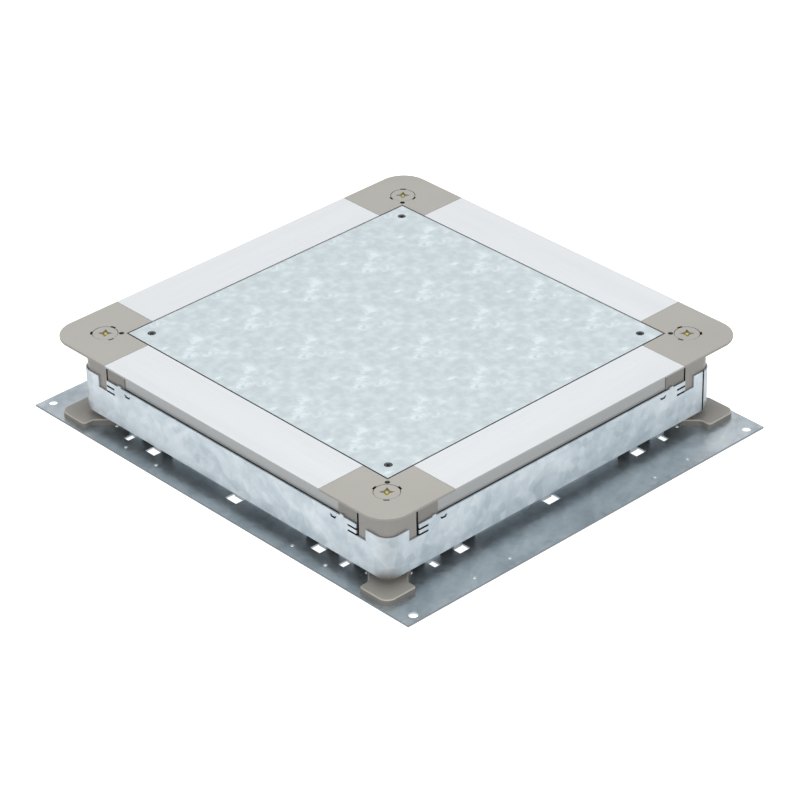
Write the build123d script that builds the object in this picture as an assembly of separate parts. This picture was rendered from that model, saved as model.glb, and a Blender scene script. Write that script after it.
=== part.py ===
"""Underfloor junction box with a height-adjustable frame and a screwed blank lid.

Millimetres, +Z up, origin at the middle of the base plate's underside.
X runs along the longer side of the base plate.
Pieces that stand four times round the box are made once, for the front side (towards -Y)
or for the back right corner (+X, +Y), and turned about Z.
"""
import os
from math import cos, radians, sin

from build123d import *

os.makedirs("parts", exist_ok=True)

# Driving sizes
OPENING = 141.7         # half width of the lid opening
RIM_W = 41.8            # width of the rim round the opening
TOP = 73.4              # finished top, at the height setting of the photograph
TRAVEL_DOWN = 3.4       # from that setting to the lowest one
RIM = OPENING + RIM_W   # half width over the rim

# Fits
FREE = 0.3              # gap between pieces that move against each other
SLIP = 0.05             # gap between pieces that are pushed together
BITE = 0.5              # how far the walls of one moulding run into each other
PAST = 1.0              # how far a cutter runs past the material

# Places that several pieces share
AXIS = OPENING + 11.2   # spindle axis, from the middle in X and Y
JOINT = OPENING - 25.0  # joint between profile and corner cap, along the side
JOINT_GAP = 0.3
CAP_END = JOINT + JOINT_GAP / 2

# Base plate: flush with the rim at its long edges, longer in X for the floor bolts
BASE_T = 1.5
BASE_MORE = 43.0
BASE_Y = 2 * RIM
BASE_X = BASE_Y + BASE_MORE
BOLT_X = BASE_X / 2 - 7.0
BOLT_Y = BASE_Y / 2 - 11.5
BOLT_R = 3.5
PIN_X = BASE_X / 2 - 9.6      # row of small holes near the short edges
PIN_Y = BASE_Y / 2 - 9.7      # row of small holes near the long edges
PIN_R = 1.5
PIN_U = (75.0, 110.0)         # places of the small holes along an edge

# Corner feet with their columns
PAD_SIDE = 29.0               # square pad of the foot
PAD_IN = AXIS - 1.9           # inner side of the pad
PAD_OUT = PAD_IN + PAD_SIDE
PAD_FLAT = 8.92               # straight stretch of the pad beside the neck
PAD_H = 5.0
PAD_TOP = BASE_T + PAD_H
PAD_R_OUT = 8.0
PAD_R_IN = 3.0
PAD_EDGE_R = 1.2
NECK_END = AXIS - 14.9        # inner end of the neck, on the diagonal
SHOULDER_R = 6.0
COLUMN_R = 10.5
COLUMN_WALL = 2.5
PEG_R = 2.5                   # pegs staked in the base plate
PEG_PLACES = (AXIS - 10.9, AXIS + 11.6)

# Entry panels that stand on the base plate and slide in grooves of the feet
PANEL_W = AXIS + 6.1          # outer plane
PANEL_T = 1.0
PANEL_HALF = AXIS - COLUMN_R - 0.9
PANEL_HEM = 4.0               # folded-in top edge
PANEL_HEM_SHORT = 7.5         # the fold stops this far from the ends
PANEL_FOLD_R = 0.9
SLOT_TOP = 46.0
SLOT_R = 3.0
ENTRY_SLOTS = ((3.0, 15.0), (33.0, 13.5), (54.5, 13.4))     # from the panel's end, width
MIDDLE_TAB = (8.0, 12.0)                                    # tab width, window width
SIDE_TABS = ((23.25, 3.0, 5.1), (50.5, 8.0, 10.0))          # from the panel's end, tab, window
TAB_END = 0.2                 # lower end of the tabs
WIN_IN = PANEL_W - 1.3        # windows in the base plate, inner edge
WIN_OUT = PANEL_W + 7.5       # outer edge
SPOT_U = AXIS - 15.2          # small hole beside each foot
SPOT_W = PANEL_W + 0.4
SPOT_R = 1.5
WING_WALL = 2.0
WING_IN = PANEL_W - PANEL_T - WING_WALL
WING_OUT = PANEL_W + WING_WALL
WING_END = PANEL_HALF - 2.7   # free end of the wing

# Bayonet discs over the spindle heads
DISC_R = 9.5
DISC_T = 1.6
DISC_EDGE = 0.3
LUG_R = DISC_R + 1.4
LUG_T = 0.7
LUG_W = 3.0
BAYONET_NOTCH_W = LUG_W + 1.4
BAYONET_NOTCH_DEPTH = 5.0
BAYONET_ANGLES = (45.0, 165.0, 285.0)
BAYONET_TURN = 60.0
STAR_TIP = 5.8
STAR_WAIST = 2.6

# Levelling spindles and their nuts
SPINDLE_R = 4.0               # M8
SPINDLE_TIP = 0.9
HEAD_R = 6.0
HEAD_H = 3.0
HEAD_EDGE = 0.5
HEAD_UNDER_DISC = 0.5         # room between the head and the disc
RECESS_HALF = 3.4
RECESS_DEPTH = 2.2
NUT_AF = 13.0
NUT_H = 5.8

# Corner caps
CAP_T = 2.0
CAP_R = 22.0                  # outer corner
CAP_EDGE_R = 0.6
CAP_UNDER = TOP - CAP_T
SEAT_TOP = TOP - DISC_T - HEAD_UNDER_DISC - HEAD_H - FREE   # seat of the spindle head
SEAT_T = 2.5
HOUSING_R = LUG_R + FREE + 0.8
SKIRT_T = 2.0
SKIRT_OUT = AXIS + COLUMN_R + 0.6 + SKIRT_T
SKIRT_R = 9.5
SLIT_W = 1.6                  # slit between ear and leg
LEG_HALF = 15.3               # sleeve of the leg, from the spindle axis to the slit
SLIT_FROM = AXIS - LEG_HALF - SLIT_W
SLIT_TO = SLIT_FROM + SLIT_W
SLIT_LIP = 2.4                # thin lips beside the slit
SLIT_LIP_T = 0.6
END_WALL_T = 2.5              # wall that closes the end of the profile
MARK_HOLE = AXIS - 8.7        # small blind hole beside the disc
MARK_HOLE_R = 2.0
MARK_HOLE_DEPTH = 5.0
MARK_HOLE_WALL = 1.2
MARK_HOLE_FLOOR = 1.5

# Heights of the feet and panels, which stop below the frame at its lowest setting
COLUMN_TOP = SEAT_TOP - SEAT_T - TRAVEL_DOWN - 0.1
COLUMN_SEAT = COLUMN_TOP - 12.0       # underside of the solid head of the column
WING_TOP = COLUMN_TOP - 1.0
PANEL_TOP = CAP_UNDER - TRAVEL_DOWN - 2.0
SPINDLE_END = BASE_T + TRAVEL_DOWN + 0.6

# Lid, seal and lid ledge
LID_HALF = OPENING - 1.3
LID_T = 4.0
LID_EDGE = 0.15
LID_UNDER = TOP - LID_T
SEAL_T = 1.7
SEAL_OUT = OPENING - 0.2
SEAL_R = 0.5
LEDGE_W = 8.7
LEDGE_T = 1.5
LEDGE_IN = OPENING - LEDGE_W
LEDGE_TOP = LID_UNDER - FREE - SEAL_T

# Lid screws and their inserts
LID_SCREW = OPENING - 13.4    # axis, from the middle in X and Y
SCREW_HEAD_R = 2.8
SCREW_HEAD_H = 1.9
SCREW_SUNK = 0.4              # head below the finished top
SCREW_HEAD_EDGE = 0.3
SCREW_R = 2.0
SCREW_L = 11.1
SCREW_TIP = 0.5
SCREW_RECESS_HALF = 1.8
SCREW_RECESS_DEPTH = 1.2
INSERT_R = 3.3
INSERT_H = 8.0
INSERT_TOP = LID_UNDER - FREE
BOSS_R = INSERT_R + 2.2
BOSS_BOTTOM = INSERT_TOP - INSERT_H - 3.1
LID_PAD_IN = LID_SCREW - 7.3  # inner corner of the pad under the lid corner
LID_PAD_R = 6.0

# Frame profiles
FLANGE_T = 1.5
WALL_T = 1.5
PROFILE_EDGE_R = 0.4
WEB_OUT = SKIRT_OUT - 0.7     # outer plane of the outer web
WEB_H = 30.8                  # frame profile, from the finished top to its lower edge
WEB_BOTTOM = TOP - WEB_H
PORT_W = OPENING + 8.3        # screw port
PORT_Z = TOP - 7.0
PORT_R = 3.5
PORT_BORE_R = 1.9
PORT_SLOT = 1.2
END_WALL_BOTTOM = PORT_Z - PORT_R - 2.9

# Profile screws
PROFILE_SCREW_L = 15.0
PROFILE_SCREW_HEAD_R = 3.2
PROFILE_SCREW_HEAD_H = 2.2
PROFILE_SCREW_SLOT = 0.8

# Side band
BAND_T = 1.0
BAND_OUT = SKIRT_OUT + 0.5 + BAND_T
BAND_IN = BAND_OUT - BAND_T
BAND_R = 11.0
LEG_BOTTOM = PAD_TOP + TRAVEL_DOWN + 2.6
BAND_BOTTOM = LEG_BOTTOM - 1.2
BAND_TOP = WEB_BOTTOM + 2.8
EAR_BOTTOM = BAND_TOP - 13.4
NOTCH_FROM = SLIT_FROM + 0.3
NOTCH_W = 9.7
NOTCH_DEPTH = 9.5
FINGER_L = 9.0
FINGER_CUT = 1.6              # height of the cuts between the fingers
FINGER_CUT_TOPS = (BAND_TOP - NOTCH_DEPTH + FINGER_CUT, BAND_TOP - 3.4)
TAB_U = JOINT + 4.8
TAB_W = 3.5
TAB_RISE = 1.2
TONGUE_U = JOINT - 4.2
TONGUE_W = 5.2                # tongue at its root
TONGUE_END_W = 2.4            # tongue at its end
TONGUE_TOP = WEB_BOTTOM - 0.2
TONGUE_H = 1.5
TONGUE_HOOK_W = 4.0
TONGUE_HOOK_T = 0.8
TONGUE_HOOK_IN = BAND_IN - 2.2
TONGUE_SUNK = 0.6             # tongue behind the face of the band
LANCE = 1.0                   # width of the cut round the tongue
SEAM_Y = BAND_OUT - BAND_R - 0.3
SEAM_W = 0.9

# Earth terminal on the base plate
EARTH_X = -128.0
EARTH_Y = 40.0
EARTH_R = 2.5                 # M5
EARTH_H = 17.0
EARTH_FOOT_R = 5.0
EARTH_FOOT_H = 1.0
EARTH_WASHER_T = 1.0
EARTH_WASHERS_R = (5.0, 4.6)
EARTH_NUT_AF = 8.0
EARTH_NUT_H = 4.0
EARTH_STACK = BASE_T + EARTH_FOOT_H + SLIP    # where the washers start


def block(x0, x1, y0, y1, z0, z1):
    """A block between two corners."""
    size = Box(x1 - x0, y1 - y0, z1 - z0)
    return Pos((x0 + x1) / 2, (y0 + y1) / 2, (z0 + z1) / 2) * size


def rod(x, y, z0, z1, r):
    """An upright cylinder."""
    return Pos(x, y, (z0 + z1) / 2) * Cylinder(r, z1 - z0)


def front_block(u0, u1, w0, w1, z0, z1):
    """A block on the front side, u along the side and w outwards."""
    return block(u0, u1, -w1, -w0, z0, z1)


def front_trapezoid(u, top_wide, end_wide, top, high, w0, w1):
    """An upright trapezoid plate on the front side, narrower at its lower end."""
    upper = top_wide / 2
    lower = end_wide / 2
    face = plate_face(((u - upper, top), (u + upper, top), (u + lower, top - high), (u - lower, top - high)))
    return Pos(0, -w0, 0) * extrude(Plane.XZ * face, w1 - w0)


def pair(shape):
    """A shape and its mirror image about the YZ plane."""
    return shape + mirror(shape, about=Plane.YZ)


def turned(shape, quarter):
    """A shape turned by quarter turns about Z."""
    return Rot(0, 0, 90.0 * quarter) * shape


def square_ring(out, inner, z0, z1, r_out, r_in):
    """A square tube round the Z axis with rounded corners."""
    face = RectangleRounded(2 * out, 2 * out, r_out) - RectangleRounded(2 * inner, 2 * inner, r_in)
    return Pos(0, 0, z0) * extrude(face, z1 - z0)


def plate_face(points):
    """A flat face through the given corners."""
    return make_face(Polyline(*points, close=True))


def cross_recess(x, y, top, half, depth):
    """The cross-shaped drive recess of a screw head, narrower at the bottom."""
    long_arm = Rectangle(2 * half, 0.45 * half)
    face = long_arm + Rot(0, 0, 90) * long_arm
    return Pos(x, y, top) * extrude(face, -depth, taper=8)


def corner_piece(shape, place):
    """A piece of the back right corner brought to the named corner."""
    return turned(shape, CORNERS[place])


def diagonal(shape):
    """A shape and its mirror image about the corner diagonal x = y."""
    return shape + mirror(shape, about=Plane(origin=(0, 0, 0), z_dir=(1, -1, 0)))


CORNERS = {"back_right": 0, "back_left": 1, "front_left": 2, "front_right": 3}
SIDES = {"front": 0, "right": 1, "back": 2, "left": 3}


def make_base_plate():
    """Sheet with bolt holes, rows of small holes, windows for the panel tabs and peg holes."""
    plate = block(-BASE_X / 2, BASE_X / 2, -BASE_Y / 2, BASE_Y / 2, 0, BASE_T)
    holes = []
    z0 = -PAST
    z1 = BASE_T + PAST
    for sx in (-1, 1):
        for sy in (-1, 1):
            holes.append(rod(sx * BOLT_X, sy * BOLT_Y, z0, z1, BOLT_R))
            for u in PIN_U:
                holes.append(rod(sx * PIN_X, sy * u, z0, z1, PIN_R))
                holes.append(rod(sx * u, sy * PIN_Y, z0, z1, PIN_R))
            for place in PEG_PLACES:
                holes.append(rod(sx * place, sy * place, z0, z1, PEG_R + FREE / 2))
    for quarter in range(4):
        windows = [(0.0, MIDDLE_TAB[1])]
        for from_end, tab_wide, window_wide in SIDE_TABS:
            windows.append((from_end - PANEL_HALF, window_wide))
            windows.append((PANEL_HALF - from_end, window_wide))
        for u, wide in windows:
            cut = front_block(u - wide / 2, u + wide / 2, WIN_IN, WIN_OUT, z0, z1)
            holes.append(turned(cut, quarter))
        for side in (-1, 1):
            holes.append(turned(rod(side * SPOT_U, -SPOT_W, z0, z1, SPOT_R), quarter))
    for hole in holes:
        plate -= hole
    return plate


def entry_slot(u0, u1):
    """Cutter for a break-out slot: open at the bottom, its upper corners rounded."""
    face = Pos((u0 + u1) / 2, 0) * RectangleRounded(u1 - u0, 2 * SLOT_TOP, SLOT_R)
    return Pos(0, PANEL_T + PAST - PANEL_W, 0) * extrude(Plane.XZ * face, PANEL_T + 2 * PAST)


def panel_tab(u, wide):
    """Tab that enters a window of the base plate."""
    return front_block(u - wide / 2, u + wide / 2, PANEL_W - PANEL_T, PANEL_W, TAB_END, BASE_T + PAST)


def make_entry_panel():
    """Upright sheet with break-out slots, tabs that enter the base plate and a folded top."""
    panel = front_block(-PANEL_HALF, PANEL_HALF, PANEL_W - PANEL_T, PANEL_W, BASE_T, PANEL_TOP)
    hem_half = PANEL_HALF - PANEL_HEM_SHORT
    hem_in = PANEL_W - PANEL_T - PANEL_HEM
    panel += front_block(-hem_half, hem_half, hem_in, PANEL_W, PANEL_TOP - PANEL_T, PANEL_TOP)
    fold = panel.edges().filter_by(Axis.X).filter_by_position(Axis.Y, -PANEL_W - 0.01, -PANEL_W + 0.01)
    panel = fillet(fold.sort_by(Axis.Z)[-1:], PANEL_FOLD_R)
    for from_end, wide in ENTRY_SLOTS:
        outer = PANEL_HALF - from_end
        panel -= pair(entry_slot(outer - wide, outer))
    panel += panel_tab(0.0, MIDDLE_TAB[0])
    for from_end, tab_wide, window_wide in SIDE_TABS:
        panel += pair(panel_tab(PANEL_HALF - from_end, tab_wide))
    return panel


def corner_near(face, x, y):
    """The corner of a flat face that lies nearest a point."""
    return face.vertices().sort_by(lambda v: (v.X - x) ** 2 + (v.Y - y) ** 2)[:1]


def pad_outline():
    """Plan of the foot: a rounded square pad on a neck that runs along the diagonal."""
    reach = PAD_SIDE - PAD_FLAT
    lower_end = (NECK_END + reach / 2, NECK_END - reach / 2)
    upper_end = (NECK_END - reach / 2, NECK_END + reach / 2)
    lower_shoulder = (PAD_IN + reach, PAD_IN)
    upper_shoulder = (PAD_IN, PAD_IN + reach)
    face = plate_face((
        lower_end, lower_shoulder, (PAD_OUT, PAD_IN), (PAD_OUT, PAD_OUT), (PAD_IN, PAD_OUT),
        upper_shoulder, upper_end))
    face = fillet(corner_near(face, PAD_OUT, PAD_OUT), PAD_R_OUT)
    for x, y in ((PAD_OUT, PAD_IN), (PAD_IN, PAD_OUT)):
        face = fillet(corner_near(face, x, y), PAD_R_IN)
    for x, y in (lower_shoulder, upper_shoulder):
        face = fillet(corner_near(face, x, y), SHOULDER_R)
    return face


def make_foot():
    """Corner foot: pad, neck, hollow column with a nut pocket, and two grooved wings."""
    pad = Pos(0, 0, BASE_T) * extrude(pad_outline(), PAD_H)
    rim = pad.edges().filter_by_position(Axis.Z, PAD_TOP - 0.01, PAD_TOP + 0.01)
    pad = fillet(rim, PAD_EDGE_R)
    wing = block(WING_END, AXIS, WING_IN, WING_OUT, BASE_T, WING_TOP)
    foot = pad + rod(AXIS, AXIS, BASE_T, COLUMN_TOP, COLUMN_R) + diagonal(wing)
    foot -= rod(AXIS, AXIS, BASE_T - PAST, COLUMN_SEAT, COLUMN_R - COLUMN_WALL)
    foot -= rod(AXIS, AXIS, COLUMN_SEAT - PAST, COLUMN_TOP + PAST, SPINDLE_R + FREE * 2)
    pocket = Pos(AXIS, AXIS, COLUMN_TOP - NUT_H - 2 * SLIP) * extrude(
        RegularPolygon(NUT_AF / 2 + SLIP, 6, major_radius=False), NUT_H + PAST)
    foot -= pocket
    groove = block(WING_END - PAST, PANEL_HALF + FREE, PANEL_W - PANEL_T - FREE, PANEL_W + FREE,
                   BASE_T - PAST, WING_TOP + PAST)
    foot -= diagonal(groove)
    for place in PEG_PLACES:
        foot += rod(place, place, 2 * SLIP, BASE_T + BITE, PEG_R)
    return foot


def make_nut():
    """Hexagon nut in the column head."""
    z0 = COLUMN_TOP - NUT_H - SLIP
    nut = extrude(RegularPolygon(NUT_AF / 2, 6, major_radius=False), NUT_H)
    nut = Pos(AXIS, AXIS, z0) * nut
    return nut - rod(AXIS, AXIS, z0 - PAST, z0 + NUT_H + PAST, SPINDLE_R + FREE)


def make_spindle():
    """Levelling spindle with a flat head and a cross recess."""
    z0 = SEAT_TOP + FREE
    body = rod(AXIS, AXIS, SPINDLE_END, z0 + BITE, SPINDLE_R)
    tip = body.edges().filter_by_position(Axis.Z, SPINDLE_END - 0.01, SPINDLE_END + 0.01)
    body = chamfer(tip, SPINDLE_TIP)
    head = rod(AXIS, AXIS, z0, z0 + HEAD_H, HEAD_R)
    rim = head.edges().filter_by_position(Axis.Z, z0 + HEAD_H - 0.01, z0 + HEAD_H + 0.01)
    head = chamfer(rim, HEAD_EDGE)
    return body + head - cross_recess(AXIS, AXIS, z0 + HEAD_H, RECESS_HALF, RECESS_DEPTH)


def slab(w0, w1, z0, z1):
    """A rectangle of the profile section, w outwards and z up."""
    return Pos((w0 + w1) / 2, (z0 + z1) / 2) * Rectangle(w1 - w0, z1 - z0)


def profile_section():
    """Section of the frame profile: flange, outer web, lid ledge and screw port."""
    into = TOP - FLANGE_T / 2
    section = slab(OPENING, RIM, TOP - FLANGE_T, TOP)
    section += slab(WEB_OUT - WALL_T, WEB_OUT, WEB_BOTTOM, into)
    section += slab(OPENING, OPENING + WALL_T, LEDGE_TOP - LEDGE_T, into)
    section += slab(LEDGE_IN, OPENING + WALL_T, LEDGE_TOP - LEDGE_T, LEDGE_TOP)
    section += slab(PORT_W - WALL_T / 2, PORT_W + WALL_T / 2, PORT_Z, into)
    section += Pos(PORT_W, PORT_Z) * Circle(PORT_R)
    section -= Pos(PORT_W, PORT_Z) * Circle(PORT_BORE_R)
    section -= slab(PORT_W - PORT_SLOT / 2, PORT_W + PORT_SLOT / 2, PORT_Z - 2 * PORT_R, PORT_Z)
    return section


def make_profile():
    """Frame profile of the front side, cut square at the corner caps."""
    half = JOINT - JOINT_GAP / 2
    section = profile_section()
    plane = Plane(origin=(-half, 0, 0), x_dir=(0, -1, 0), z_dir=(-1, 0, 0))
    solid = extrude(plane * section, -2 * half)
    tip = solid.edges().filter_by(Axis.X).filter_by_position(Axis.Y, -RIM - 0.01, -RIM + 0.01)
    return fillet(tip.sort_by(Axis.Z)[-1:], PROFILE_EDGE_R)


def star_face():
    """Four-pointed star with hollow sides, its points along the corner diagonals."""
    points = []
    for k in range(8):
        r = STAR_WAIST if k % 2 else STAR_TIP
        a = radians(45 * k + 45)
        points.append((r * cos(a), r * sin(a)))
    return plate_face(points)


def lugs(r_out, width, z0, z1, angles):
    """Radial blocks round the spindle axis."""
    out = None
    for a in angles:
        lug = Pos(AXIS, AXIS, 0) * Rot(0, 0, a) * block(DISC_R - PAST, r_out, -width / 2, width / 2, z0, z1)
        out = lug if out is None else out + lug
    return out


def make_disc():
    """Bayonet disc with three lugs and a star aperture over the spindle head."""
    z0 = TOP - DISC_T
    disc = rod(AXIS, AXIS, z0, TOP, DISC_R)
    rim = disc.edges().filter_by_position(Axis.Z, TOP - 0.01, TOP + 0.01)
    disc = chamfer(rim, DISC_EDGE)
    keys = lugs(LUG_R + PAST, LUG_W, z0, z0 + LUG_T, [a + BAYONET_TURN for a in BAYONET_ANGLES])
    keys = keys & rod(AXIS, AXIS, z0, z0 + LUG_T, LUG_R)
    disc += keys
    return disc - Pos(AXIS, AXIS, z0 - PAST) * extrude(star_face(), DISC_T + 2 * PAST)


def cap_plate():
    """Plan of the cap: an L round the lid corner with a rounded outer corner."""
    face = plate_face(((CAP_END, CAP_END), (RIM, CAP_END), (RIM, RIM), (CAP_END, RIM)))
    outer = face.vertices().sort_by(lambda v: v.X + v.Y)[-1]
    face = fillet([outer], CAP_R)
    return face - plate_face(((0, 0), (OPENING, 0), (OPENING, OPENING), (0, OPENING)))


def cap_skirt():
    """Leg sleeve round the column and the two ears, thinner beside the slits between them."""
    z1 = CAP_UNDER + BITE
    skirt = square_ring(SKIRT_OUT, SKIRT_OUT - SKIRT_T, LEG_BOTTOM, z1, SKIRT_R, SKIRT_R - SKIRT_T)
    skirt = skirt & block(SLIT_TO, RIM, SLIT_TO, RIM, 0, TOP)
    skirt += diagonal(block(CAP_END, SLIT_FROM, SKIRT_OUT - SKIRT_T, SKIRT_OUT, EAR_BOTTOM, z1))
    w0 = SKIRT_OUT - SKIRT_T - PAST
    behind = block(SLIT_FROM - SLIT_LIP, SLIT_TO + SLIT_LIP, w0, SKIRT_OUT - SLIT_LIP_T, 0, CAP_UNDER)
    return skirt - diagonal(behind)


def cap_lid_seat():
    """Wall and ledge round the lid corner, with the pad and the boss of the lid screw."""
    z0 = LEDGE_TOP - LEDGE_T - BITE
    wall_out = OPENING + WALL_T + BITE
    seat = diagonal(block(CAP_END, wall_out, OPENING, wall_out, z0, CAP_UNDER + BITE))
    seat += diagonal(block(CAP_END, OPENING + BITE, LEDGE_IN, OPENING + BITE, z0, LEDGE_TOP))
    pad = block(LID_PAD_IN, LEDGE_IN + BITE, LID_PAD_IN, LEDGE_IN + BITE, z0, LEDGE_TOP)
    lone = pad.edges().filter_by(Axis.Z).sort_by(lambda e: e.center().X + e.center().Y)[:1]
    seat += fillet(lone, LID_PAD_R)
    seat += rod(LID_SCREW, LID_SCREW, BOSS_BOTTOM, INSERT_TOP, BOSS_R)
    seat -= rod(LID_SCREW, LID_SCREW, INSERT_TOP - INSERT_H, TOP, INSERT_R + SLIP)
    return seat - rod(LID_SCREW, LID_SCREW, BOSS_BOTTOM - PAST, TOP, SCREW_R + FREE)


def bayonet_bore():
    """Cutter for the spindle seat, the disc recess, the lug groove and the three notches."""
    disc_floor = TOP - DISC_T - FREE
    over = TOP + PAST
    bore = rod(AXIS, AXIS, disc_floor, over, DISC_R + FREE + SLIP)
    bore += rod(AXIS, AXIS, SEAT_TOP, over, HEAD_R + FREE + 4 * SLIP)
    bore += rod(AXIS, AXIS, SEAT_TOP - SEAT_T - PAST, over, SPINDLE_R + FREE)
    bore += rod(AXIS, AXIS, disc_floor, TOP - DISC_T + LUG_T + FREE, LUG_R + FREE)
    notch_floor = TOP - BAYONET_NOTCH_DEPTH
    notches = lugs(LUG_R + PAST, BAYONET_NOTCH_W, notch_floor, over, BAYONET_ANGLES)
    return bore + (notches & rod(AXIS, AXIS, notch_floor, over, LUG_R + FREE))


def make_cap():
    """Corner cap: top plate, ears, leg sleeve, spindle housing, lid ledge and lid screw boss."""
    cap = Pos(0, 0, CAP_UNDER) * extrude(cap_plate(), CAP_T)
    rim = cap.edges().filter_by_position(Axis.Z, TOP - 0.01, TOP + 0.01)
    rim = rim.filter_by(lambda e: max(e.center().X, e.center().Y) > RIM - CAP_R / 2)
    cap = fillet(rim, CAP_EDGE_R)
    cap += cap_skirt()
    end_wall = block(CAP_END, CAP_END + END_WALL_T, OPENING, PORT_W + PORT_R + BITE, END_WALL_BOTTOM,
                     CAP_UNDER + BITE)
    cap += diagonal(end_wall)
    cap += cap_lid_seat()
    cap += rod(AXIS, AXIS, SEAT_TOP - SEAT_T, CAP_UNDER + BITE, HOUSING_R)
    mark_floor = TOP - MARK_HOLE_DEPTH
    mark_outside = MARK_HOLE_R + MARK_HOLE_WALL
    cap += rod(MARK_HOLE, MARK_HOLE, mark_floor - MARK_HOLE_FLOOR, CAP_UNDER + BITE, mark_outside)
    cap -= bayonet_bore()
    cap -= rod(MARK_HOLE, MARK_HOLE, mark_floor, TOP + PAST, MARK_HOLE_R)
    screw_bore = Pos(CAP_END + END_WALL_T / 2, PORT_W, PORT_Z) * Rot(0, 90, 0) * Cylinder(
        SCREW_R + SLIP, END_WALL_T + 2 * PAST)
    return cap - diagonal(screw_bore)


def band_cuts():
    """Corner notches, finger cuts and lances of the band's front side."""
    w0 = BAND_IN - PAST
    w1 = BAND_OUT + PAST
    notch_floor = BAND_TOP - NOTCH_DEPTH
    cuts = pair(front_block(NOTCH_FROM, NOTCH_FROM + NOTCH_W, w0, w1, notch_floor, BAND_TOP + PAST))
    for z1 in FINGER_CUT_TOPS:
        cuts += pair(front_block(NOTCH_FROM - FINGER_L, NOTCH_FROM + PAST, w0, w1, z1 - FINGER_CUT, z1))
    cuts += pair(front_trapezoid(TONGUE_U, TONGUE_W + 2 * LANCE, TONGUE_END_W + 2 * LANCE, TONGUE_TOP,
                                 TONGUE_H + LANCE, w0, w1))
    return cuts


def band_folds():
    """Tabs on the edge, and tongues pushed in to hook under the web, on the band's front side."""
    u0 = TAB_U - TAB_W / 2
    folds = pair(front_block(u0, u0 + TAB_W, BAND_IN, BAND_OUT, BAND_TOP - BITE, BAND_TOP + TAB_RISE))
    face = BAND_OUT - TONGUE_SUNK
    tongue = front_trapezoid(TONGUE_U, TONGUE_W, TONGUE_END_W, TONGUE_TOP, TONGUE_H, face - BAND_T, face)
    u0 = TONGUE_U - TONGUE_HOOK_W / 2
    u1 = TONGUE_U + TONGUE_HOOK_W / 2
    z0 = TONGUE_TOP - TONGUE_HOOK_T
    tongue += front_block(u0, u1, TONGUE_HOOK_IN, BAND_IN, z0, TONGUE_TOP)
    tongue += front_block(u0, u1, BAND_IN, face, z0, TONGUE_TOP + BITE)
    return folds + pair(tongue)


def make_band():
    """Sheet band round the frame with notches, finger cuts, tabs, tongues and one butt seam."""
    band = square_ring(BAND_OUT, BAND_IN, BAND_BOTTOM, BAND_TOP, BAND_R, BAND_R - BAND_T)
    cuts = band_cuts()
    folds = band_folds()
    for quarter in range(4):
        band -= turned(cuts, quarter)
        band += turned(folds, quarter)
    seam = block(TONGUE_HOOK_IN, BAND_OUT + PAST, SEAM_Y - SEAM_W / 2, SEAM_Y + SEAM_W / 2, 0, TOP)
    return band - seam


def make_lid():
    """Flat lid plate with four counterbored screw holes."""
    lid = block(-LID_HALF, LID_HALF, -LID_HALF, LID_HALF, LID_UNDER, TOP)
    edges = lid.edges().filter_by_position(Axis.Z, TOP - 0.01, TOP + 0.01)
    lid = chamfer(edges, LID_EDGE)
    floor = TOP - SCREW_SUNK - SCREW_HEAD_H - FREE
    for sx in (-1, 1):
        for sy in (-1, 1):
            lid -= rod(sx * LID_SCREW, sy * LID_SCREW, floor, TOP + PAST, SCREW_HEAD_R + FREE + 2 * SLIP)
            lid -= rod(sx * LID_SCREW, sy * LID_SCREW, 0, TOP + PAST, SCREW_R + FREE)
    return lid


def make_lid_screw():
    """Short cheese-head screw with a cross recess."""
    top = TOP - SCREW_SUNK
    under = top - SCREW_HEAD_H
    end = under - SCREW_L
    head = rod(LID_SCREW, LID_SCREW, under, top, SCREW_HEAD_R)
    rim = head.edges().filter_by_position(Axis.Z, top - 0.01, top + 0.01)
    head = chamfer(rim, SCREW_HEAD_EDGE)
    shank = rod(LID_SCREW, LID_SCREW, end, under + BITE, SCREW_R)
    tip = shank.edges().filter_by_position(Axis.Z, end - 0.01, end + 0.01)
    shank = chamfer(tip, SCREW_TIP)
    return head + shank - cross_recess(LID_SCREW, LID_SCREW, top, SCREW_RECESS_HALF, SCREW_RECESS_DEPTH)


def make_insert(x, y):
    """Threaded bush in the lid screw boss."""
    bush = rod(x, y, INSERT_TOP - INSERT_H + SLIP, INSERT_TOP, INSERT_R)
    return bush - rod(x, y, BOSS_BOTTOM, TOP, SCREW_R + FREE)


def make_seal():
    """Flat seal that lies on the lid ledge all round, outside the screw bosses."""
    inner = LID_SCREW + BOSS_R + FREE
    return square_ring(SEAL_OUT, inner, LEDGE_TOP, LEDGE_TOP + SEAL_T, SEAL_R, SEAL_R)


def make_profile_screw():
    """Pan-head screw through the cap's end wall into the profile's screw port."""
    wall = CAP_END + END_WALL_T
    lying = Rot(0, 90, 0)
    shank = lying * Cylinder(PORT_BORE_R, PROFILE_SCREW_L)
    shank = Pos(wall - PROFILE_SCREW_L / 2, -PORT_W, PORT_Z) * shank
    head = lying * Cylinder(PROFILE_SCREW_HEAD_R, PROFILE_SCREW_HEAD_H)
    head = Pos(wall + PROFILE_SCREW_HEAD_H / 2, -PORT_W, PORT_Z) * head
    half = PROFILE_SCREW_SLOT / 2
    u0 = wall + PROFILE_SCREW_HEAD_H / 2
    slot = front_block(u0, wall + PROFILE_SCREW_HEAD_H + PAST, PORT_W - half, PORT_W + half,
                       PORT_Z - PROFILE_SCREW_HEAD_R - PAST, PORT_Z + PROFILE_SCREW_HEAD_R + PAST)
    return shank + head - slot


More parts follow.
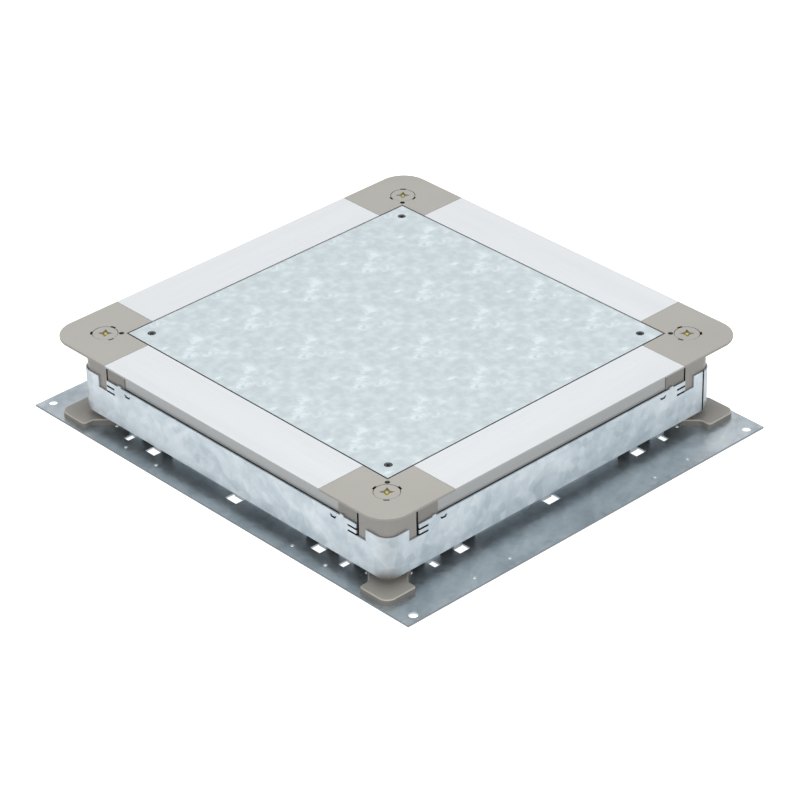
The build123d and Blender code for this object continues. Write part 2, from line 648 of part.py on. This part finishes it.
def make_earth_stud():
    """Stud with a flat foot welded to the base plate."""
    foot = rod(EARTH_X, EARTH_Y, BASE_T, BASE_T + EARTH_FOOT_H, EARTH_FOOT_R)
    return foot + rod(EARTH_X, EARTH_Y, BASE_T, BASE_T + EARTH_H, EARTH_R)


def make_earth_washer(place, r):
    """One of the two washers that clamp the earth wire."""
    z0 = EARTH_STACK + place * (EARTH_WASHER_T + SLIP)
    washer = rod(EARTH_X, EARTH_Y, z0, z0 + EARTH_WASHER_T, r)
    return washer - rod(EARTH_X, EARTH_Y, 0, BASE_T + EARTH_H, EARTH_R + 2 * SLIP)


def make_earth_nut():
    """Hexagon nut on the washers."""
    z0 = EARTH_STACK + len(EARTH_WASHERS_R) * (EARTH_WASHER_T + SLIP)
    face = RegularPolygon(EARTH_NUT_AF / 2, 6, major_radius=False) - Circle(EARTH_R + SLIP)
    return Pos(EARTH_X, EARTH_Y, z0) * extrude(face, EARTH_NUT_H)


def save(name, shape):
    """Write one node."""
    export_step(shape, "parts/" + name + ".step")


save("base_plate", make_base_plate())

panel = make_entry_panel()
for side, quarter in SIDES.items():
    save("entry_panel_" + side, turned(panel, quarter))

profile = make_profile()
for side, quarter in SIDES.items():
    save("frame_profile_" + side, turned(profile, quarter))

foot = make_foot()
cap = make_cap()
disc = make_disc()
spindle = make_spindle()
lid_screw = make_lid_screw()
for place in CORNERS:
    save("corner_foot_" + place, corner_piece(foot, place))
    save("corner_cap_" + place, corner_piece(cap, place))
    save("spindle_disc_" + place, corner_piece(disc, place))
    save("levelling_spindle_" + place, corner_piece(spindle, place))
    save("lid_screw_" + place, corner_piece(lid_screw, place))

save("side_band", make_band())
save("lid_plate", make_lid())
save("lid_seal", make_seal())

nuts = [turned(make_nut(), quarter) for quarter in range(4)]
save("spindle_nuts", Compound(children=nuts))

inserts = [make_insert(sx * LID_SCREW, sy * LID_SCREW) for sx in (-1, 1) for sy in (-1, 1)]
save("lid_screw_inserts", Compound(children=inserts))

screws = []
for quarter in range(4):
    one = make_profile_screw()
    for shape in (one, mirror(one, about=Plane.YZ)):
        screws.append(turned(shape, quarter))
save("profile_screws", Compound(children=screws))

save("earth_stud", make_earth_stud())
washers = [make_earth_washer(place, r) for place, r in enumerate(EARTH_WASHERS_R)]
save("earth_washers", Compound(children=washers))
save("earth_nut", make_earth_nut())
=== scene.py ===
from math import cos, pi, radians, sin

import bmesh
import bpy
from mathutils import Matrix, Vector


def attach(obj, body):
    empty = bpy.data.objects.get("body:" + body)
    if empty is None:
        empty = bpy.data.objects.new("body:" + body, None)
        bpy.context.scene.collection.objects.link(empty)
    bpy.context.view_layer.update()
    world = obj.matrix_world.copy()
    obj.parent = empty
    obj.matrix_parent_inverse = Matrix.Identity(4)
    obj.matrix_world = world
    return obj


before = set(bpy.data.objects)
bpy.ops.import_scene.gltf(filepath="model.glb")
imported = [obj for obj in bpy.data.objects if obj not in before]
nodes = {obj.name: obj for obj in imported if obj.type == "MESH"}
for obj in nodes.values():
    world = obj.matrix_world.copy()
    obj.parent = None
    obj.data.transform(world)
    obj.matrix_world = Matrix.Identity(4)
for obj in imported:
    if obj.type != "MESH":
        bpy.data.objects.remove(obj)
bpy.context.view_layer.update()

MM = 0.001

# The corners, each with its direction from the middle, and the sides.
CORNERS = {"back_right": (1, 1), "back_left": (-1, 1),
           "front_left": (-1, -1), "front_right": (1, -1)}
SIDES = ("front", "right", "back", "left")

# Places on the solids, measured from the middle or from the floor.
TOP = 73.4 * MM
OPENING = 141.7 * MM
SPINDLE_AXIS = 152.9 * MM
LID_SCREW_AXIS = 128.3 * MM
MARK_HOLE = 144.2 * MM
SLIT = 136.8 * MM
SLIT_HALF = 0.85 * MM
SKIRT_IN = 164.0 * MM
BAND_TOP = 45.4 * MM
BAND_FOOT = 11.3 * MM
BEND_FROM = 152.0 * MM
BEND_WIDTH = 10.0 * MM
SEAM = 156.2 * MM
SEAM_HALF = 0.85 * MM
PLATE_HALF = (205.0 * MM, 183.5 * MM)
EARTH_STUD = (-128.0 * MM, 40.0 * MM)

# Edges that turn further than this are shown as sharp.
SHARP = radians(32)

# The mill roll leaves its figure on the lid once in each turn: patches as their middle and
# their half width along X and Y, in millimetres.
ROLL_PITCH = 60.0 * MM
ROLL_PATCHES = (((24, 8), (8, 6)), ((31, 0), (5, 6)), ((38, -9), (7, 6)),
                ((45, 5), (5, 9)), ((15, -15), (4, 6)))

# The camera: the photograph's angle, and the point of the object that it looks at.
CAMERA_AZIMUTH = radians(47.03)
CAMERA_ELEVATION = radians(31.51)
CAMERA_ROLL = radians(-1.01)
CAMERA_DISTANCE = 2.6954
CAMERA_SHIFT = (0.00234, 0.01166)
PLATE_TOP = Vector((0, 0, 1.5 * MM))
LENS_MM = 161.03
SENSOR_MM = 36.0

# The room: a floor just under the object, a soft sky and two round lamps.
FLOOR_HALF = 6.0
FLOOR_GAP = 0.4 * MM
FLOOR_GLOW_IN_METAL = 0.8
SKY_COLOUR = (0.96, 0.98, 1.0)
SKY_STRENGTH = 0.5
LAMPS = (("lamp_top", (0.1, -0.1, 2.4), 1.6, 34.5),
         ("lamp_front", (1.8, -1.68, 0.9), 0.8, 13.0))


# Camera

def aim_camera():
    """A long lens from the front right, at the photograph's angle."""
    level = cos(CAMERA_ELEVATION)
    back = Vector((sin(CAMERA_AZIMUTH) * level, -cos(CAMERA_AZIMUTH) * level,
                   sin(CAMERA_ELEVATION)))
    right = Vector((cos(CAMERA_AZIMUTH), sin(CAMERA_AZIMUTH), 0.0))
    up = back.cross(right)
    tilt, lean = cos(CAMERA_ROLL), sin(CAMERA_ROLL)
    right, up = right * tilt + up * lean, up * tilt - right * lean
    place = right * CAMERA_SHIFT[0] + up * CAMERA_SHIFT[1] + back * CAMERA_DISTANCE + PLATE_TOP
    lens = bpy.data.cameras.new("camera")
    lens.lens = LENS_MM
    lens.sensor_width = SENSOR_MM
    lens.clip_start = 0.05
    lens.clip_end = 20.0
    camera = bpy.data.objects.new("camera", lens)
    turn = Matrix((right, up, back)).transposed().to_4x4()
    camera.matrix_world = Matrix.Translation(place) @ turn
    bpy.context.collection.objects.link(camera)
    bpy.context.scene.camera = camera


aim_camera()
bpy.context.scene.view_settings.view_transform = "Standard"


# Node helpers

def srgb(r, g, b):
    """Linear colour of an 8-bit screen colour."""
    out = []
    for v in (r, g, b):
        v /= 255
        out.append(v / 12.92 if v <= 0.04045 else ((v + 0.055) / 1.055) ** 2.4)
    return tuple(out)


def grey(value):
    """One number as a colour, for ramps that carry a roughness or a strength."""
    return (value, value, value)


class Nodes:
    """Adds nodes to one material or to the world, and joins them."""

    SOCKETS = {"colour": "Base Color", "rough": "Roughness", "metal": "Metallic",
               "normal": "Normal", "specular": "Specular IOR Level"}

    def __init__(self, owner):
        owner.use_nodes = True
        self.tree = owner.node_tree
        self.shader = self.tree.nodes.get("Principled BSDF")

    def add(self, kind, inputs=(), **settings):
        node = self.tree.nodes.new(kind)
        for key, value in settings.items():
            setattr(node, key, value)
        for key, value in dict(inputs).items():
            self.feed(node.inputs[key], value)
        return node

    def feed(self, socket, value):
        """Links a socket to another node's output, or sets its value."""
        if hasattr(value, "is_output"):
            self.tree.links.new(value, socket)
        else:
            socket.default_value = value

    def set(self, **values):
        """Feeds the surface shader's own sockets."""
        for key, value in values.items():
            if key == "colour" and not hasattr(value, "is_output"):
                value = (*value, 1.0)
            self.feed(self.shader.inputs[self.SOCKETS[key]], value)

    def place(self, stretch=(1, 1, 1), turn=0.0):
        """Object coordinates for a pattern, turned about Z and stretched along its own axes."""
        where = self.add("ShaderNodeTexCoord").outputs["Object"]
        mapping = self.add("ShaderNodeMapping", {
            "Vector": where, "Scale": stretch, "Rotation": (0, 0, turn)}, vector_type="TEXTURE")
        return mapping.outputs["Vector"]

    def split(self, vector):
        """The X, Y and Z of a vector."""
        return tuple(self.add("ShaderNodeSeparateXYZ", {"Vector": vector}).outputs)

    def noise(self, where, scale, detail=3.0, rough=0.5, distortion=0.0):
        node = self.add("ShaderNodeTexNoise", {
            "Vector": where, "Scale": scale, "Detail": detail, "Roughness": rough,
            "Distortion": distortion})
        return node.outputs["Fac"]

    def ramp(self, value, stops):
        """Colours along a value, stops as (position, colour)."""
        node = self.add("ShaderNodeValToRGB", {"Fac": value})
        band = node.color_ramp
        while len(band.elements) < len(stops):
            band.elements.new(0.5)
        for element, (at, colour) in zip(band.elements, stops):
            element.position = at
            element.color = (*colour, 1.0)
        return node.outputs["Color"]

    def fade(self, value, start, end):
        """0 up to start, 1 from end on."""
        return self.add("ShaderNodeMapRange", {
            "Value": value, "From Min": start, "From Max": end}).outputs[0]

    def mix(self, fac, a, b, how="MIX"):
        """Colour a where fac is 0, and b where it is 1."""
        node = self.add("ShaderNodeMix", data_type="RGBA", blend_type=how)
        sockets = {s.name: s for s in node.inputs if s.enabled}
        self.feed(sockets["Factor"], fac)
        for name, colour in (("A", a), ("B", b)):
            self.feed(sockets[name], colour if hasattr(colour, "is_output") else (*colour, 1.0))
        return next(s for s in node.outputs if s.enabled)

    def maths(self, how, a, b=0.0, c=0.0):
        return self.add("ShaderNodeMath", {0: a, 1: b, 2: c}, operation=how).outputs[0]

    def both(self, a, b):
        """Two masks at once, or a value at a strength."""
        return self.maths("MULTIPLY", a, b)

    def either(self, a, b):
        """The larger of two masks."""
        return self.maths("MAXIMUM", a, b)

    def facing(self):
        """How far a face looks upwards, from -1 to 1."""
        normal = self.add("ShaderNodeNewGeometry").outputs["Normal"]
        return self.split(normal)[2]

    def facing_up(self):
        """1 on faces that look upwards, 0 on upright ones and undersides."""
        return self.maths("GREATER_THAN", self.facing(), 0.5)

    def upright(self):
        """1 on upright faces, 0 on flat ones."""
        return self.maths("LESS_THAN", self.maths("ABSOLUTE", self.facing()), 0.5)

    def from_middle(self):
        """Distance from the middle along X and along Y, and the height."""
        x, y, z = self.split(self.place())
        return self.maths("ABSOLUTE", x), self.maths("ABSOLUTE", y), z

    def round_corner(self, x, y, centre, radius):
        """1 inside an upright cylinder that stands on each corner diagonal."""
        dx = self.maths("SUBTRACT", x, centre)
        dy = self.maths("SUBTRACT", y, centre)
        square = self.maths("ADD", self.both(dx, dx), self.both(dy, dy))
        return self.maths("LESS_THAN", square, radius * radius)

    def bump(self, height, depth, strength=1.0, after=None):
        inputs = {"Height": height, "Distance": depth, "Strength": strength}
        if after is not None:
            inputs["Normal"] = after
        return self.add("ShaderNodeBump", inputs).outputs["Normal"]


def new_material(name):
    mat = bpy.data.materials.new(name)
    return mat, Nodes(mat)


# Finishes

def plate_rim(n):
    """1 on the outer cut edge of the base plate."""
    x, y, _ = n.from_middle()
    skin = 0.1 * MM
    return n.either(n.maths("GREATER_THAN", x, PLATE_HALF[0] - skin),
                    n.maths("GREATER_THAN", y, PLATE_HALF[1] - skin))


def finger_cuts(n):
    """1 on the flat walls of the cuts between the band's fingers, which take painted shade so
    that the cuts look deep.
    """
    x, y, z = n.from_middle()
    middle, half_height = BAND_TOP - 6.2 * MM, 3.9 * MM
    level = n.maths("SUBTRACT", 1.0, n.upright())
    inner = n.maths("LESS_THAN", n.maths("MINIMUM", x, y), SLIT - 0.5 * MM)
    return n.both(level, n.both(inner, n.maths("COMPARE", z, middle, half_height)))


def butt_seam(n):
    """1 beside the joint of the band's two ends."""
    x, y, _ = n.split(n.place())
    return n.both(n.maths("GREATER_THAN", x, BEND_FROM),
                  n.maths("COMPARE", y, SEAM, SEAM_HALF))


def band_bend_shade_masks(n):
    """How far the strip has turned round a corner, and the same at its lower edge only: masks
    for painted shade on the bent corners and for a painted dark reflection of the foot along
    their lower edge.
    """
    x, y, z = n.from_middle()
    turned = n.fade(n.maths("MINIMUM", x, y), BEND_FROM, BEND_FROM + BEND_WIDTH)
    low = n.fade(z, BAND_FOOT + 9 * MM, BAND_FOOT)
    return turned, n.both(turned, low)


def galvanised(name, dark, light, metal=0.6, rough=(0.34, 0.5), streak=0.35, grain=150.0,
               flake=0.14, edge=None, cut_shade_and_seam=None, bend_shade=None):
    """Zinc-coated sheet: cloudy spangle with soft crystal edges. The base plate has dull
    cut edges. The band has painted shade in its finger cuts, a dark seam, painted shade on its
    bent corners and a painted dark reflection of the foot along their lower edge."""
    mat, n = new_material(name)
    plain = n.place()
    pulled = n.place((1.0, 2.2, 1.0), 0.5)
    cloud = n.noise(pulled, 34.0, 4.0, 0.55, 1.4)
    crystal = n.add("ShaderNodeTexVoronoi", {
        "Vector": plain, "Scale": grain, "Randomness": 1.0, "Smoothness": 0.35},
        feature="SMOOTH_F1").outputs["Color"]
    crystal = n.add("ShaderNodeSeparateColor", {"Color": crystal}).outputs[0]
    flow = n.noise(pulled, 15.0, 2.0, 0.5, 2.6)
    speck = n.noise(plain, 260.0, 3.0, 0.6)
    tone = n.maths("ADD", n.both(cloud, 0.62), n.both(crystal, flake))
    tone = n.maths("ADD", tone, n.both(flow, streak))
    tone = n.maths("ADD", tone, n.both(speck, 0.12))
    mid = tuple((a + b) / 2 for a, b in zip(dark, light))
    colour = n.ramp(tone, ((0.42, dark), (0.59, mid), (0.78, light)))
    if edge is not None:
        colour = n.mix(plate_rim(n), colour, edge)
    if cut_shade_and_seam is not None:
        # Painted shade on the walls of the finger cuts; the seam is a dark joint.
        colour = n.mix(finger_cuts(n), colour, cut_shade_and_seam)
        colour = n.mix(butt_seam(n), colour, cut_shade_and_seam)
    if bend_shade is not None:
        turned, low = band_bend_shade_masks(n)
        # Painted shade on the bent corners, and a painted dark reflection of the foot along
        # their lower edge.
        colour = n.mix(turned, colour, bend_shade, "MULTIPLY")
        colour = n.mix(low, colour, srgb(118, 115, 110))
    normal = n.bump(crystal, 0.03 * MM, 0.3)
    normal = n.bump(n.noise(plain, 700.0, 2.0), 0.02 * MM, 0.4, normal)
    n.set(colour=colour, metal=metal, normal=normal,
          rough=n.ramp(crystal, ((0.0, grey(rough[0])), (1.0, grey(rough[1])))))
    return mat


def roll_patch(n, x, y, place, size):
    """A soft patch that comes round once in each turn of the mill roll, in both directions."""
    off = []
    for value, middle, half in zip((x, y), place, size):
        shifted = n.maths("SUBTRACT", value, middle * MM)
        shifted = n.maths("WRAP", shifted, ROLL_PITCH / 2, -ROLL_PITCH / 2)
        share = n.maths("ABSOLUTE", n.maths("DIVIDE", shifted, half * MM))
        off.append(n.maths("POWER", share, 2.0))
    return n.either(n.maths("SUBTRACT", 1.0, n.maths("ADD", off[0], off[1])), 0.0)


def roll_noise(n, x, y):
    """Noise that repeats with the mill roll: each axis goes once round a circle in a turn."""
    ring = []
    for axis in (x, y):
        phase = n.both(axis, 2 * pi / ROLL_PITCH)
        ring += [n.maths("COSINE", phase), n.maths("SINE", phase)]
    spot = n.add("ShaderNodeCombineXYZ", {"X": ring[0], "Y": ring[1], "Z": ring[2]}).outputs[0]

    def roll(scale, detail, distortion=0.4):
        return n.add("ShaderNodeTexNoise", {
            "Vector": spot, "W": ring[3], "Scale": scale, "Detail": detail, "Roughness": 0.55,
            "Distortion": distortion}, noise_dimensions="4D").outputs["Fac"]

    return roll


def rolled_lid_zinc(name):
    """Zinc-coated lid plate: soft mottle and pale patches that the mill roll repeats, and
    dark cut edges, partly the bare cut edge and partly painted shade in the gap round the lid."""
    mat, n = new_material(name)
    plain = n.place()
    along_x, along_y, _ = n.split(plain)
    roll = roll_noise(n, along_x, along_y)
    mottle = roll(1.25, 3.0, 0.3)
    wander = 12 * MM
    shift = [n.both(n.maths("SUBTRACT", roll(scale, 2.0), 0.5), wander) for scale in (1.7, 2.3)]
    x = n.maths("ADD", along_x, shift[0])
    y = n.maths("ADD", along_y, shift[1])
    patches = None
    for place, size in ROLL_PATCHES:
        patch = roll_patch(n, x, y, place, size)
        patches = patch if patches is None else n.either(patches, patch)
    loose = n.noise(n.place((1.3, 1.0, 1.0), radians(47)), 95.0, 2.0, 0.5, 0.5)
    tone = n.maths("ADD", n.both(mottle, 0.7), n.both(loose, 0.3))
    broken = n.ramp(roll(2.0, 2.0), ((0.36, grey(0.25)), (0.56, grey(1))))
    tone = n.maths("ADD", tone, n.both(n.both(patches, broken), 0.24))
    colour = n.ramp(tone, ((0.4, srgb(188, 198, 203)), (0.5, srgb(195, 206, 210)),
                           (0.58, srgb(202, 212, 216)), (0.72, srgb(216, 226, 230))))
    from_x, from_y, _ = n.from_middle()
    outer = n.maths("GREATER_THAN", n.either(from_x, from_y), OPENING - 2 * MM)
    # Painted shade: the upright outer edges, seen only in the gap round the lid, are made dark.
    colour = n.mix(n.both(n.upright(), outer), colour, srgb(80, 85, 89))
    normal = n.bump(tone, 0.2 * MM, 0.4)
    normal = n.bump(n.noise(plain, 900.0, 2.0), 0.01 * MM, 0.4, normal)
    n.set(colour=colour, metal=0.3, normal=normal,
          rough=n.ramp(tone, ((0.4, grey(0.44)), (0.7, grey(0.38)))))
    return mat


def corner_shade(n):
    """Where the painted shade goes: 1 in the disc recess and the slits, less in the small blind
    hole and on the ears.
    """
    x, y, z = n.from_middle()
    recess_radius, disc_radius, hole_radius = 11.3 * MM, 9.3 * MM, 2.1 * MM
    sunk = n.maths("COMPARE", z, TOP - 4.35 * MM, 4 * MM)
    ring = n.maths("SUBTRACT", n.round_corner(x, y, SPINDLE_AXIS, recess_radius),
                   n.round_corner(x, y, SPINDLE_AXIS, disc_radius))
    hole = n.both(n.round_corner(x, y, MARK_HOLE, hole_radius), 0.6)
    shade_mask = n.both(n.either(ring, hole), sunk)
    under = n.maths("LESS_THAN", z, TOP - 2.1 * MM)
    shaded = n.either(n.maths("LESS_THAN", z, BAND_TOP), 0.25)
    for along, across in ((x, y), (y, x)):
        skirt = n.both(n.maths("GREATER_THAN", across, SKIRT_IN - 4 * MM), under)
        slit = n.maths("COMPARE", along, SLIT, SLIT_HALF)
        ear = n.both(n.maths("LESS_THAN", along, SLIT), shaded)
        shade_mask = n.either(shade_mask, n.both(skirt, n.either(slit, ear)))
    return shade_mask


def moulded(name, colour, rough, gap_shade=None, edge_highlight=None, upright_shade=None):
    """Moulded plastic: fine spark grain and a faint change of tone. Where asked it has
    painted shade in its recesses, slits and ears, a painted highlight on rounded edges and
    painted shade on upright faces."""
    mat, n = new_material(name)
    plain = n.place()
    paler = tuple(min(1.0, c * 1.05) for c in colour)
    deeper = tuple(c * 0.95 for c in colour)
    tone = n.ramp(n.noise(plain, 9.0, 3.0, 0.6), ((0.3, deeper), (0.7, paler)))
    if upright_shade is not None:
        # Painted shade: upright faces darker than the tops.
        tone = n.mix(n.upright(), tone, upright_shade)
    if edge_highlight is not None:
        # Painted highlight on rounded edges.
        tone = n.mix(n.maths("COMPARE", n.facing(), 0.66, 0.26), tone, edge_highlight)
    if gap_shade is not None:
        # Painted shade in the corner's recesses, slits and ears.
        tone = n.mix(corner_shade(n), tone, gap_shade)
    grain = n.noise(plain, 1500.0, 2.0, 0.6)
    n.set(colour=tone, specular=0.4, normal=n.bump(grain, 0.03 * MM, 0.5),
          rough=n.ramp(grain, ((0.3, grey(rough - 0.05)), (0.7, grey(rough + 0.05)))))
    return mat


def drawn_aluminium(name, stretch):
    """Satin anodised profile with hairline draw marks: ground on top, mill finish on its
    sides that is partly painted shade, the inner wall of the opening painted light in the
    ground tone, and painted shade where it is behind the band."""
    mat, n = new_material(name)
    lines = n.noise(n.place(stretch), 900.0, 3.0, 0.6)
    broad = n.noise(n.place(stretch), 60.0, 2.0, 0.5)
    tone = n.maths("ADD", n.both(lines, 0.5), n.both(broad, 0.5))
    ground = n.ramp(tone, ((0.35, srgb(213, 216, 218)), (0.65, srgb(220, 223, 225))))
    mill = n.ramp(tone, ((0.35, srgb(176, 178, 178)), (0.65, srgb(186, 188, 188))))
    x, y, z = n.from_middle()
    inner_wall = n.maths("LESS_THAN", n.either(x, y), OPENING + 1 * MM)
    # The sides' darker mill tone is partly finish and partly painted shade; the inner wall
    # takes the lighter ground tone as painted light.
    colour = n.mix(n.either(n.facing_up(), inner_wall), mill, ground)
    # Painted shade: dark below the band's top edge, behind the band.
    colour = n.mix(n.maths("LESS_THAN", z, BAND_TOP), colour, srgb(40, 42, 44))
    n.set(colour=colour, metal=0.12, normal=n.bump(lines, 0.01 * MM, 0.3),
          rough=n.ramp(lines, ((0.3, grey(0.36)), (0.7, grey(0.46)))))
    return mat


def plated(name, dark, light, rough, metal=0.9):
    """Plated small parts: tumbled finish with slightly worn tone."""
    mat, n = new_material(name)
    plain = n.place()
    patch = n.noise(plain, 420.0, 4.0, 0.6, 0.6)
    n.set(colour=n.ramp(patch, ((0.3, dark), (0.7, light))), metal=metal,
          rough=n.ramp(patch, ((0.3, grey(rough - 0.06)), (0.7, grey(rough + 0.08)))),
          normal=n.bump(n.noise(plain, 2500.0, 2.0), 0.02 * MM, 0.3))
    return mat


lid_zinc = rolled_lid_zinc("lid_zinc")
# The band takes painted shade in its finger cuts and on its bent corners.
band_zinc = galvanised(
    "band_zinc", srgb(190, 203, 211), srgb(233, 241, 246), metal=0.36, rough=(0.34, 0.54),
    streak=0.25, grain=140.0, flake=0.2, cut_shade_and_seam=srgb(52, 56, 58), bend_shade=(0.84, 0.83, 0.82))
plate_zinc = galvanised(
    "plate_zinc", srgb(156, 167, 174), srgb(200, 209, 214), metal=0.76, rough=(0.3, 0.39),
    streak=0.3, grain=260.0, flake=0.08, edge=srgb(120, 126, 130))
panel_zinc = galvanised("panel_zinc", srgb(150, 160, 167), srgb(186, 195, 201))
# The caps take painted shade in their recesses, slits and ears, and on upright faces.
greige = moulded("greige_plastic", srgb(166, 163, 156), 0.36,
                 gap_shade=srgb(46, 44, 41), upright_shade=srgb(163, 160, 154))
# The feet take a painted highlight on their rounded top edge and painted shade on their sides.
foot_greige = moulded("foot_plastic", srgb(163, 159, 152), 0.4,
                      edge_highlight=srgb(192, 187, 179), upright_shade=srgb(129, 125, 119))
rubber = moulded("seal_rubber", srgb(38, 38, 38), 0.75)
aluminium_x = drawn_aluminium("aluminium_x", (50.0, 1.0, 1.0))
aluminium_y = drawn_aluminium("aluminium_y", (1.0, 50.0, 1.0))
yellow_zinc = plated("yellow_zinc", srgb(214, 204, 122), srgb(240, 232, 164), 0.34, metal=0.35)
black_zinc = plated("black_zinc", srgb(58, 60, 62), srgb(96, 98, 100), 0.35)
bright_zinc = plated("bright_zinc", srgb(150, 156, 160), srgb(205, 210, 214), 0.28)
brass = plated("turned_brass", srgb(168, 132, 62), srgb(222, 190, 112), 0.26)


def paint(name, mat):
    for slot in nodes[name].material_slots:
        slot.material = mat


for name, mat in (("base_plate", plate_zinc), ("side_band", band_zinc), ("lid_plate", lid_zinc),
                  ("lid_seal", rubber), ("lid_screw_inserts", brass), ("earth_nut", brass),
                  ("spindle_nuts", bright_zinc), ("profile_screws", bright_zinc),
                  ("earth_stud", bright_zinc), ("earth_washers", bright_zinc)):
    paint(name, mat)
for side in SIDES:
    paint("entry_panel_" + side, panel_zinc)
    paint("frame_profile_" + side, aluminium_x if side in ("front", "back") else aluminium_y)
for corner in CORNERS:
    paint("corner_foot_" + corner, foot_greige)
    paint("corner_cap_" + corner, greige)
    paint("spindle_disc_" + corner, greige)
    paint("levelling_spindle_" + corner, yellow_zinc)
    paint("lid_screw_" + corner, black_zinc)


# Thread ridges

def finish_piece(name, bm, mat, body):
    """Turns a finished bmesh into a piece that rides on a body."""
    bmesh.ops.remove_doubles(bm, verts=bm.verts, dist=0.001 * MM)
    bmesh.ops.recalc_face_normals(bm, faces=bm.faces)
    for face in bm.faces:
        face.smooth = True
    for edge in bm.edges:
        edge.smooth = edge.calc_face_angle(0.0) < SHARP
    mesh = bpy.data.meshes.new(name)
    bm.to_mesh(mesh)
    bm.free()
    mesh.materials.append(mat)
    obj = bpy.data.objects.new(name, mesh)
    bpy.context.collection.objects.link(obj)
    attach(obj, body)


def thread_ridge(axis, reach, root, crest, pitch, steps=14):
    """A thread ridge round an upright shaft: the axis as (x, y) in metres, the reach as the
    low and the high end, and the rest in millimetres."""
    bm = bmesh.new()
    x, y = axis
    low, high, root, crest, pitch = (length * MM for length in (*reach, root, crest, pitch))
    half = pitch * 0.36
    flat = half * 0.15
    corners = [bm.verts.new((x + r, y, low + pitch / 2 + z))
               for r, z in ((root, -half), (crest, -flat), (crest, flat), (root, half))]
    face = bm.faces.new(corners)
    count = round(((high - low) / pitch - 1.0) * steps)
    bmesh.ops.spin(bm, geom=[face, *face.edges, *corners], cent=(x, y, 0), axis=(0, 0, 1),
                   dvec=(0, 0, pitch / steps), angle=count * 2 * pi / steps, steps=count,
                   use_duplicate=False)
    return bm


for corner, (sx, sy) in CORNERS.items():
    finish_piece("spindle_thread_" + corner,
                 thread_ridge((sx * SPINDLE_AXIS, sy * SPINDLE_AXIS), (6.5, 66.5),
                              root=3.9, crest=4.18, pitch=1.25, steps=20),
                 yellow_zinc, "spindle_" + corner)
    finish_piece("lid_screw_thread_" + corner,
                 thread_ridge((sx * LID_SCREW_AXIS, sy * LID_SCREW_AXIS), (60.6, 69.4),
                              root=1.93, crest=2.15, pitch=0.7),
                 black_zinc, "screw_" + corner)
finish_piece("earth_stud_thread",
             thread_ridge(EARTH_STUD, (9.0, 18.2), root=2.42, crest=2.66, pitch=0.8),
             bright_zinc, "base")


# Floor, room and lamps

def lay_floor():
    """A pale floor that shows as white and keeps the object's shadow in its own light."""
    bm = bmesh.new()
    bmesh.ops.create_grid(bm, x_segments=1, y_segments=1, size=FLOOR_HALF)
    bmesh.ops.translate(bm, verts=bm.verts, vec=(0, 0, -FLOOR_GAP))
    mesh = bpy.data.meshes.new("floor")
    bm.to_mesh(mesh)
    bm.free()
    floor = bpy.data.objects.new("floor", mesh)
    bpy.context.collection.objects.link(floor)
    mat, n = new_material("floor_white")
    n.set(colour=grey(0.6), rough=0.9, specular=0.0)
    rays = n.add("ShaderNodeLightPath").outputs
    seen = n.either(n.either(rays["Is Camera Ray"], rays["Is Glossy Ray"]),
                    rays["Is Transmission Ray"])
    extra = n.both(rays["Is Camera Ray"], 1.0 - FLOOR_GLOW_IN_METAL)
    strength = n.maths("ADD", extra, FLOOR_GLOW_IN_METAL)
    glow = n.add("ShaderNodeEmission", {"Color": (1, 1, 1, 1), "Strength": strength}).outputs[0]
    own = n.shader.outputs[0]
    lit = n.add("ShaderNodeAddShader", {0: own, 1: glow}).outputs[0]
    blend = n.add("ShaderNodeMixShader", {0: seen, 1: own, 2: lit}).outputs[0]
    n.feed(n.tree.nodes["Material Output"].inputs["Surface"], blend)
    mesh.materials.append(mat)


def light_room():
    """A soft sky that camera and metal see as plain white."""
    world = bpy.data.worlds.new("room")
    bpy.context.scene.world = world
    n = Nodes(world)
    sky = n.tree.nodes["Background"]
    n.feed(sky.inputs["Color"], (*SKY_COLOUR, 1.0))
    n.feed(sky.inputs["Strength"], SKY_STRENGTH)
    white = n.add("ShaderNodeBackground", {"Color": (1, 1, 1, 1), "Strength": 1.0}).outputs[0]
    rays = n.add("ShaderNodeLightPath").outputs
    seen = n.either(n.either(rays["Is Camera Ray"], rays["Is Transmission Ray"]),
                    rays["Is Glossy Ray"])
    blend = n.add("ShaderNodeMixShader", {0: seen, 1: sky.outputs[0], 2: white}).outputs[0]
    n.feed(n.tree.nodes["World Output"].inputs["Surface"], blend)


def hang_lamps():
    """Round lamps that point at the middle of the object."""
    for name, place, size, power in LAMPS:
        light = bpy.data.lights.new(name, "AREA")
        light.shape = "DISK"
        light.size = size
        light.energy = power
        lamp = bpy.data.objects.new(name, light)
        turn = Vector(place).to_track_quat("Z", "Y").to_matrix().to_4x4()
        lamp.matrix_world = Matrix.Translation(place) @ turn
        bpy.context.collection.objects.link(lamp)


lay_floor()
light_room()
hang_lamps()
